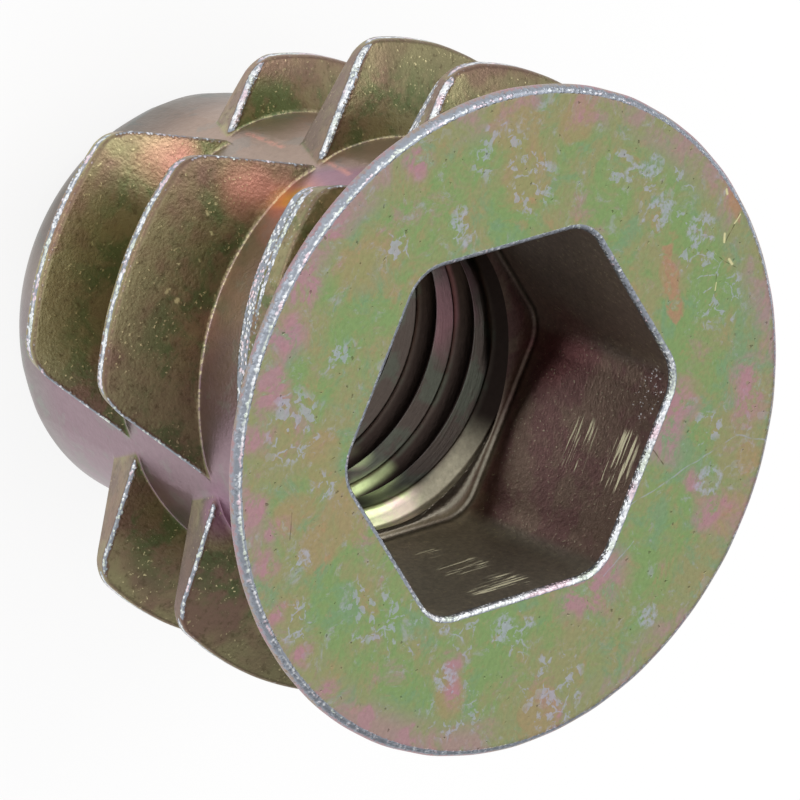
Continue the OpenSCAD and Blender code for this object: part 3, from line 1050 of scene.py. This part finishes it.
def bare_metal_and_highlight(f, c, bright):
    """Edges worn to the metal, with painted highlights: grey, and where bright is high silver with tinted
    beads.
    """
    tint = f.noise(f.at, 1.3, 1, shift=12)
    silver = f.mix(c.wear_and_highlight_silver, c.wear_and_highlight_pink, f.soft(tint, 0.52, 0.64) * 0.7)
    silver = f.mix(silver, c.wear_and_highlight_green, f.soft(tint, 0.47, 0.36) * 0.5)
    return f.mix(c.worn_grey, silver, f.soft(bright, 0.5, 0.85))


def outside_finish(c):
    """Core, wood thread and underside of the flange."""
    f = Finish("chromate_outside")
    at = f.at
    moved = f.wander(at, 0.8, 0.4)
    edge, rise, crest, root, wall = (f.mark(name) for name in OuterForm.mark_names)
    broad, patch = f.noise(moved, 0.5, 3, 0.6, shift=3), f.noise(moved, 1.1, 4, 0.65, shift=7)
    fine, grain = f.noise(at, 6, 3, 0.65, shift=1), f.noise(at, 13, 1, shift=4)
    beads = f.beads(at, 10.0)
    x, _, z = f.split(at)

    flank = f.mix(c.flank_brown, c.flank_olive, f.soft(broad, 0.42, 0.6))
    flank = f.mix(flank, c.flank_maroon, f.soft(broad - rise * 0.05, 0.44, 0.32) * 0.7)
    flank = f.mix(flank, c.flank_green, f.soft(patch, 0.42, 0.62) * f.soft(rise, 0.95, 0.35) * 0.8)
    flank = f.mix(flank, c.wall_mauve, wall * f.soft(patch, 0.35, 0.6) * 0.8)
    flank = f.mix(flank, c.flank_dark, f.soft(fine, 0.46, 0.3) * 0.5)
    # Painted light and shade: the flanks are painted lighter towards the tip and darker towards +X.
    flank = f.shade(flank, 1 + f.soft(z, 6.2, 3.8) * 0.25)
    flank = f.shade(flank, 1 - f.soft(x, 1.0, 4.0) * 0.2)
    core = f.mix(c.core_tan, c.core_mauve, f.soft(x + (broad - 0.5) * 6, -2.0, 2.0))
    core = f.mix(core, c.core_grey, f.soft(patch, 0.52, 0.62) * 0.4 + f.soft(z, 2.0, 0.6) * 0.6)
    core = f.shade(core, 1 - f.soft(x, 1.5, -1.0) * f.soft(z, 2.8, 1.4) * 0.38)
    base = f.mix(core, flank, f.soft(rise, 0.0, 0.02))
    base = f.mix(base, c.core_plum, f.spots(moved, PLUM_SPOTS, 1.2) * 0.7)
    # Hot spots: the chromate's red and yellow tint, partly a painted reflection of the lands.
    glow = 0.4 + patch
    base = f.mix(base, c.red_tint_and_reflection, f.spots(moved, HOT_SPOTS, 1.7) * glow * 0.85)
    base = f.mix(base, c.yellow_tint_and_reflection, f.spots(moved, HOT_CENTRES, 1.5) * glow * 0.8)
    streaks = f.strokes(f.wander(at, 3.0, 0.06), HOT_STREAKS, 0.0) * f.soft(fine, 0.3, 0.6)
    base = f.mix(base, c.red_tint_and_reflection, streaks * 0.6)
    # Painted glints: small gold sparkles on the flanks.
    sparks = f.soft(grain, 0.65, 0.74) * f.soft(patch, 0.44, 0.6) * f.soft(rise, 0.0, 0.03)
    base = f.mix(base, c.flank_glint_gold, sparks * (1 - wall * 0.7) * 0.85)
    # Painted glints: pale spots at listed places on the flanks.
    glints = f.spots(f.wander(at, 7.0, 0.1, 6), FLANK_GLINTS, 1.0) * f.soft(grain, 0.3, 0.45)
    base = f.mix(base, c.flake_and_glint_pale, glints)
    base = f.mix(base, c.edge_plum, f.soft(edge, 0.04, 0.3) * f.soft(fine, 0.25, 0.55) * 0.85)
    # Painted highlight: a thin gold line along the fins' roots.
    base = f.mix(base, c.flank_glint_gold, root * f.soft(beads, 0.1, 0.5) * f.soft(x, 4.0, 1.5) * 0.65)
    # Edges and crests: worn metal with painted highlights.
    worn = f.maths("MAXIMUM", edge, crest)
    bare = bare_metal_and_highlight(f, c, worn + (beads - 0.5) * 0.6 + (fine - 0.5) * 1.2)
    base = f.mix(base, bare, f.soft(worn + (beads - 0.5) * 0.2 + (fine - 0.5) * 0.3, 0.3, 0.5))
    base = f.shade(base, 0.84 + fine * 0.32)
    height = grain * 0.3 + fine * 0.25 + beads * worn * 0.8 + f.noise(at, 2.2, 1, shift=2) * 0.35
    return f.finish(base, 0.3 + patch * 0.14, height, 0.02)


def face_finish(c):
    """Front and rim of the flange."""
    f = Finish("chromate_face")
    at = f.at
    moved = f.wander(at, 0.9, 0.45)
    edge = f.mark("edge")
    hue, other = f.noise(moved, 0.5, 5, 0.7, shift=1), f.noise(moved, 0.62, 5, 0.72, shift=5)
    mottle, fine = f.noise(moved, 1.9, 4, 0.75, shift=9), f.noise(at, 9, 2, 0.6, shift=2)
    base = f.mix(c.face_green, c.face_olive, f.soft(hue, 0.42, 0.6))
    base = f.mix(base, c.face_moss, f.soft(other, 0.49, 0.36) * 0.75)
    tan = f.patches(at, TAN_SPOTS, other) + f.soft(mottle, 0.54, 0.7)
    base = f.mix(base, c.face_tan, tan * 0.45)
    rim_way = f.vector("LENGTH", f.vector("MULTIPLY", at, (1, 1, 0)))
    bent = f.wander(at, 2.2, 0.3, 8)
    pink = f.spots(bent, PINK_SPOTS, 1.3) * f.soft(mottle, 0.36, 0.56)
    pink = pink + f.soft(rim_way, 6.6, 7.5) * f.soft(hue, 0.56, 0.42) * 0.8
    pink = pink + f.soft(other, 0.56, 0.7) * 0.6 + f.soft(rim_way, 7.62, 7.78) * 0.5
    base = f.mix(base, c.face_pink, f.maths("MINIMUM", pink, 1.0) * 0.72)
    base = f.mix(base, c.face_orange, f.strokes(bent, ORANGE_BANDS, 0.4) * f.soft(mottle, 0.4, 0.5) * 0.8)
    base = f.mix(base, c.face_grey, f.soft(mottle, 0.44, 0.28) * 0.5)

    frayed = f.wander(at, 5.0, 0.1, 3)
    crowd = f.patches(at, SCUFF_PLACES, other) * 0.85 + f.soft(hue, 0.52, 0.65) * 0.3
    cracks = f.soft(f.cells(frayed, 1.9, "DISTANCE_TO_EDGE"), 0.05, 0.02) * f.soft(fine, 0.38, 0.5)
    cracks = cracks * f.soft(f.noise(at, 1.7, 1, shift=27), 0.5, 0.56)
    chips = f.soft(f.cells(frayed, 5.5), 0.69, 0.72) * f.soft(mottle, 0.44, 0.52)
    plates = f.soft(f.cells(frayed, 3.4), 0.45, 0.54) * f.soft(fine, 0.3, 0.62)
    plates = plates * f.patches(at, GREY_SPOTS, mottle)
    scuffs = f.maths("MINIMUM", (cracks + chips) * crowd + plates, 1.0)
    base = f.mix(base, c.scuff_pale, scuffs * 0.66)
    drawn = f.wander(at, 2.0, 0.06, 4)
    scratch = f.strokes(drawn, FACE_SCRATCHES) * f.soft(mottle, 0.36, 0.5)
    base = f.mix(base, c.scuff_pale, scratch * 0.5)
    base = f.mix(base, c.nick_brown, f.strokes(drawn, FACE_NICKS) * 0.65)
    base = f.mix(base, c.flake_and_glint_pale, f.strokes(drawn, FACE_FLAKES))
    pits = f.soft(f.noise(at, 6.5, 1, shift=31), 0.28, 0.22)
    base = f.mix(base, c.nick_brown, pits * 0.45)
    beads = f.beads(at, 8.0)
    # The rim and the socket's bevel: worn metal with painted highlights.
    worn = f.soft(edge + (fine - 0.5) * 0.4, 0.18, 0.34)
    base = f.mix(base, bare_metal_and_highlight(f, c, edge + (beads - 0.4) * 0.25 + (fine - 0.5) * 0.9), worn)
    base = f.shade(base, 0.82 + fine * 0.36)
    height = fine * 0.4 + beads * worn * 0.9 - pits * 0.8
    return f.finish(base, 0.34 + fine * 0.14, height, 0.014)


def socket_finish(c):
    """Walls and floor of the hexagon socket."""
    f = Finish("chromate_socket")
    at = f.at
    moved = f.wander(at, 0.9, 0.4)
    edge = f.mark("edge")
    broad, fine = f.noise(moved, 0.6, 4, 0.65, shift=2), f.noise(at, 7, 3, 0.7, shift=4)
    grain = f.noise(at, 13, 1, shift=14)
    x, y, z = f.split(at)
    cos_30, sin_30 = math.cos(math.pi / 6), 0.5
    low_wall, high_wall = (f.soft(x * k + y * sin_30, 3.9, 4.15) for k in (cos_30, -cos_30))
    ring = f.soft(z, 7.95, 7.74)
    low_ring = ring * f.soft(x, -1.0, 1.0)
    base = f.mix(c.socket_brown, c.socket_maroon, f.soft(broad, 0.42, 0.54))
    # Painted light and shade: the low wall and the floor's low side lighter, the high wall a lighter
    # grey-brown, the floor ring darker.
    base = f.mix(base, c.socket_olive_and_light, f.maths("MAXIMUM", low_wall, low_ring))
    base = f.mix(base, c.high_wall_painted_light, high_wall)
    base = f.shade(base, 1 - ring * 0.85 + low_ring * 0.3)
    base = f.mix(base, c.socket_red, f.spots(moved, SOCKET_REDS, 1.5) * 0.45)
    base = f.shade(base, 0.55 + fine * 0.95)
    dust = f.soft(grain, 0.64, 0.72) * f.soft(fine, 0.42, 0.52) * f.soft(z, 7.9, 8.1)
    base = f.mix(base, c.streak_gold, dust * 0.5)
    turn = f.maths("ARCTAN2", y, x) * 4.6
    along = f.node("ShaderNodeCombineXYZ", None, {0: turn, 1: 0.0, 2: z * 20}).outputs[0]
    streaks = f.soft(f.noise(along, 1.0, 1, shift=5), 0.55, 0.63) * f.spots(at, STREAK_PLACES, 0.5)
    base = f.mix(base, c.streak_gold, streaks)
    beads = f.beads(at, 11.0)
    # Painted glints: small bright sparkles near the socket's mouth.
    sparks = f.soft(beads * fine, 0.42, 0.6) * f.spots(at, SOCKET_SPARKS, 1.0)
    # The socket's bevel: worn metal with painted highlights.
    worn = f.soft(edge + (fine - 0.5) * 0.4, 0.25, 0.42)
    base = f.mix(base, bare_metal_and_highlight(f, c, edge + (beads - 0.4) * 0.45 + (fine - 0.5)), worn)
    base = f.mix(base, c.wear_and_highlight_silver, sparks)
    height = grain * 0.3 + fine * 0.4 + beads * worn * 0.9 + sparks
    matt = f.maths("MINIMUM", streaks * 0.7 + sparks * 0.6 + (high_wall + low_wall) * 0.05, 1.0)
    return f.finish(base, 0.34 + broad * 0.12, height, 0.018, 1 - matt)


def bore_finish(c):
    """The machine thread."""
    f = Finish("chromate_bore")
    at = f.at
    moved = f.wander(at, 0.8, 0.4)
    depth = f.mark("rise")
    broad, fine = f.noise(moved, 0.6, 4, 0.65, shift=3), f.noise(at, 7, 3, 0.65, shift=6)
    base = f.mix(c.bore_grey, c.bore_mauve, f.soft(broad, 0.46, 0.56))
    base = f.mix(base, c.bore_pink, f.spots(moved, BORE_PINKS, 1.0) * 0.7)
    # Painted shade: the groove is painted darker.
    base = f.mix(base, c.bore_groove_shade, f.soft(depth, 0.04, 0.3))
    x, _, z = f.split(at)
    # Painted shade: the mouth's chamfer is painted darker.
    mouth = f.soft(z, 7.25, 7.45)
    base = f.shade(base, 1 - mouth * 0.7)
    # Painted reflections: pale green and pink glints on the bore's crests and mouth.
    glint = f.spots(moved, BORE_GLINTS, 1.7) * f.maths("MAXIMUM", f.soft(depth, 0.7, 0.3), mouth)
    base = f.mix(base, f.mix(c.bore_glint, c.bore_glint_pink, f.soft(broad, 0.48, 0.6)), glint)
    base = f.shade(base, 0.8 + fine * 0.4)
    # Painted light: the mouth's low side is painted pale and made less metallic.
    low_lip = mouth * f.soft(x, 0.0, 1.8) * 0.55
    base = f.mix(base, f.mix(c.bore_glint, c.bore_glint_pink, 0.6), low_lip * (0.5 + fine))
    turned = f.noise(f.vector("MULTIPLY", at, (1.2, 1.2, 14.0)), 1.0, 2, shift=9)
    return f.finish(base, 0.28 + broad * 0.12, turned * 0.35 + fine * 0.3, 0.015, 1 - low_lip)


# ---------------------------------------------------------------- operators


class InsertBody(bpy.types.Operator):
    """Makes the casting and its finishes in place of the CAD solid"""

    bl_idname = "insert.body"
    bl_label = "Cast body"

    def execute(self, context):
        scene = context.scene
        makers = (outside_finish, face_finish, socket_finish, bore_finish)
        finishes = [make(scene.insert_colours) for make in makers]
        piece = build_insert(
            scene.insert_body_sizes, scene.insert_wood_thread, scene.insert_machine_thread, finishes
        )
        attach(piece, "root")
        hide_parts(NODE)
        print("triangles", sum(len(p.vertices) - 2 for p in piece.data.polygons))
        return {"FINISHED"}


# Name, place, diameter in metres and power in watts
LAMPS = [
    ("key", (-0.30, 0.12, 0.42), 0.22, 0.35),
    ("front", (-0.05, -0.5, 0.10), 0.3, 0.35),
    ("rim", (-0.2, 0.45, 0.06), 0.2, 0.15),
]
# How far the camera stands to its right and up from the line through the flange's centre, in metres
CAMERA_OFF = (-0.002540, 0.000537)


class InsertStage(bpy.types.Operator):
    """Makes the floor, the light and the camera"""

    bl_idname = "insert.stage"
    bl_label = "Stage"

    def execute(self, context):
        stage = context.scene.insert_stage
        self.lay_floor(context.scene, stage)
        self.light_studio(context.scene, stage)
        self.place_camera(context.scene, stage)
        context.scene.view_settings.view_transform = "Standard"
        return {"FINISHED"}

    def lay_floor(self, scene, stage):
        """A matt floor. It glows white for glossy and transmission rays, and for a share of what the
        camera sees, which leaves the rest of the plain paint and with it the shadow."""
        half = stage.floor_size / 2
        corners = [(-half, -half, 0), (half, -half, 0), (half, half, 0), (-half, half, 0)]
        mesh = bpy.data.meshes.new("floor")
        mesh.from_pydata(corners, [], [(0, 1, 2, 3)])
        floor = bpy.data.objects.new("floor", mesh)
        scene.collection.objects.link(floor)
        ground = Finish("floor_paint")
        ground.feed(ground.surface.inputs["Base Color"], tuple(stage.floor_tone))
        ground.feed(ground.surface.inputs["Roughness"], 0.9)
        glow = ground.node("ShaderNodeEmission", None, {"Color": (1, 1, 1), "Strength": 1.0})
        camera, gloss, through = ground.rays("Camera", "Glossy", "Transmission")
        white = ground.maths("MAXIMUM", camera * stage.white_share, ground.maths("MAXIMUM", gloss, through))
        paints = {0: white, 1: ground.surface.outputs[0], 2: glow.outputs[0]}
        both = ground.node("ShaderNodeMixShader", None, paints)
        ground.tree.links.new(both.outputs[0], ground.tree.nodes["Material Output"].inputs["Surface"])
        mesh.materials.append(ground.material)

    def light_studio(self, scene, stage):
        """Even white light, in which gloss sees two darker walls, and the lamps."""
        world = bpy.data.worlds.new("studio")
        world.use_nodes = True
        sky = Nodes(world.node_tree)
        backdrop = world.node_tree.nodes["Background"]
        sky.feed(backdrop.inputs["Color"], (1, 1, 1))
        gloss, = sky.rays("Glossy")
        x, y, z = sky.split(sky.node("ShaderNodeTexCoord").outputs["Generated"])
        behind = sky.soft(y, 0.1, 0.5) * sky.soft(z, 0.0, 0.15) * sky.soft(z, 0.72, 0.58)
        right = sky.soft(x, 0.0, 0.6) * sky.soft(z, 0.0, 0.1)
        seen_behind, seen_right = gloss * behind * stage.wall_behind, gloss * right * stage.wall_right
        sky.feed(backdrop.inputs["Strength"], (1 - seen_behind) * (1 - seen_right))
        scene.world = world

        for name, place, size, power in LAMPS:
            lamp = bpy.data.lights.new(name, "AREA")
            lamp.shape, lamp.size, lamp.energy = "DISK", size, power
            holder = bpy.data.objects.new(name, lamp)
            scene.collection.objects.link(holder)
            holder.location = place
            aim = Vector((0, 0, CAD_BOX[1].z / 2)) - Vector(place)
            holder.rotation_euler = aim.to_track_quat("-Z", "Y").to_euler()

    def place_camera(self, scene, stage):
        """The camera, which looks down on the flange's front from one side."""
        lens = bpy.data.cameras.new("camera")
        lens.lens, lens.sensor_width = stage.lens, 36
        lens.clip_start, lens.clip_end = 0.01, 10
        camera = bpy.data.objects.new("camera", lens)
        scene.collection.objects.link(camera)
        side, rise, roll = stage.camera_turn, stage.camera_rise, stage.camera_roll
        back = Vector((math.sin(side) * math.cos(rise), -math.cos(side) * math.cos(rise), math.sin(rise)))
        level_right = Vector((math.cos(side), math.sin(side), 0))
        level_up = back.cross(level_right)
        up = level_up * math.cos(roll) - level_right * math.sin(roll)
        right = up.cross(back)
        place = Vector((0, 0, CAD_BOX[1].z)) + back * stage.camera_distance
        place += right * CAMERA_OFF[0] + up * CAMERA_OFF[1]
        camera.matrix_world = Matrix.Translation(place) @ Matrix((right, up, back)).transposed().to_4x4()
        scene.camera = camera


class InsertPanel(bpy.types.Panel):
    """Lists the sizes, the colours and the operators"""

    bl_idname = "VIEW3D_PT_insert"
    bl_label = "Threaded insert"
    bl_space_type = "VIEW_3D"
    bl_region_type = "UI"
    bl_category = "Insert"

    def draw(self, context):
        layout, scene = self.layout, context.scene
        for label, name in GROUPS:
            box = layout.box()
            box.label(text=label)
            group = getattr(scene, name)
            for key in group.bl_rna.properties.keys():
                if key not in ("rna_type", "name"):
                    box.prop(group, key)
        for operator in (InsertBody, InsertStage):
            layout.operator(operator.bl_idname)


GROUPS = [
    ("Body", "insert_body_sizes"), ("Wood thread", "insert_wood_thread"),
    ("Machine thread", "insert_machine_thread"), ("Colours", "insert_colours"), ("Stage", "insert_stage"),
]
GROUP_TYPES = [BodySizes, WoodThreadSizes, MachineThreadSizes, FinishColours, StageSizes]
CLASSES = [*GROUP_TYPES, InsertBody, InsertStage, InsertPanel]


def register():
    for made in CLASSES:
        bpy.utils.register_class(made)
    for (_, name), kind in zip(GROUPS, GROUP_TYPES):
        setattr(bpy.types.Scene, name, PointerProperty(type=kind))


def unregister():
    for _, name in GROUPS:
        delattr(bpy.types.Scene, name)
    for made in reversed(CLASSES):
        bpy.utils.unregister_class(made)


def main():
    register()
    bpy.ops.insert.body()
    bpy.ops.insert.stage()


if __name__ == "__main__":
    main()
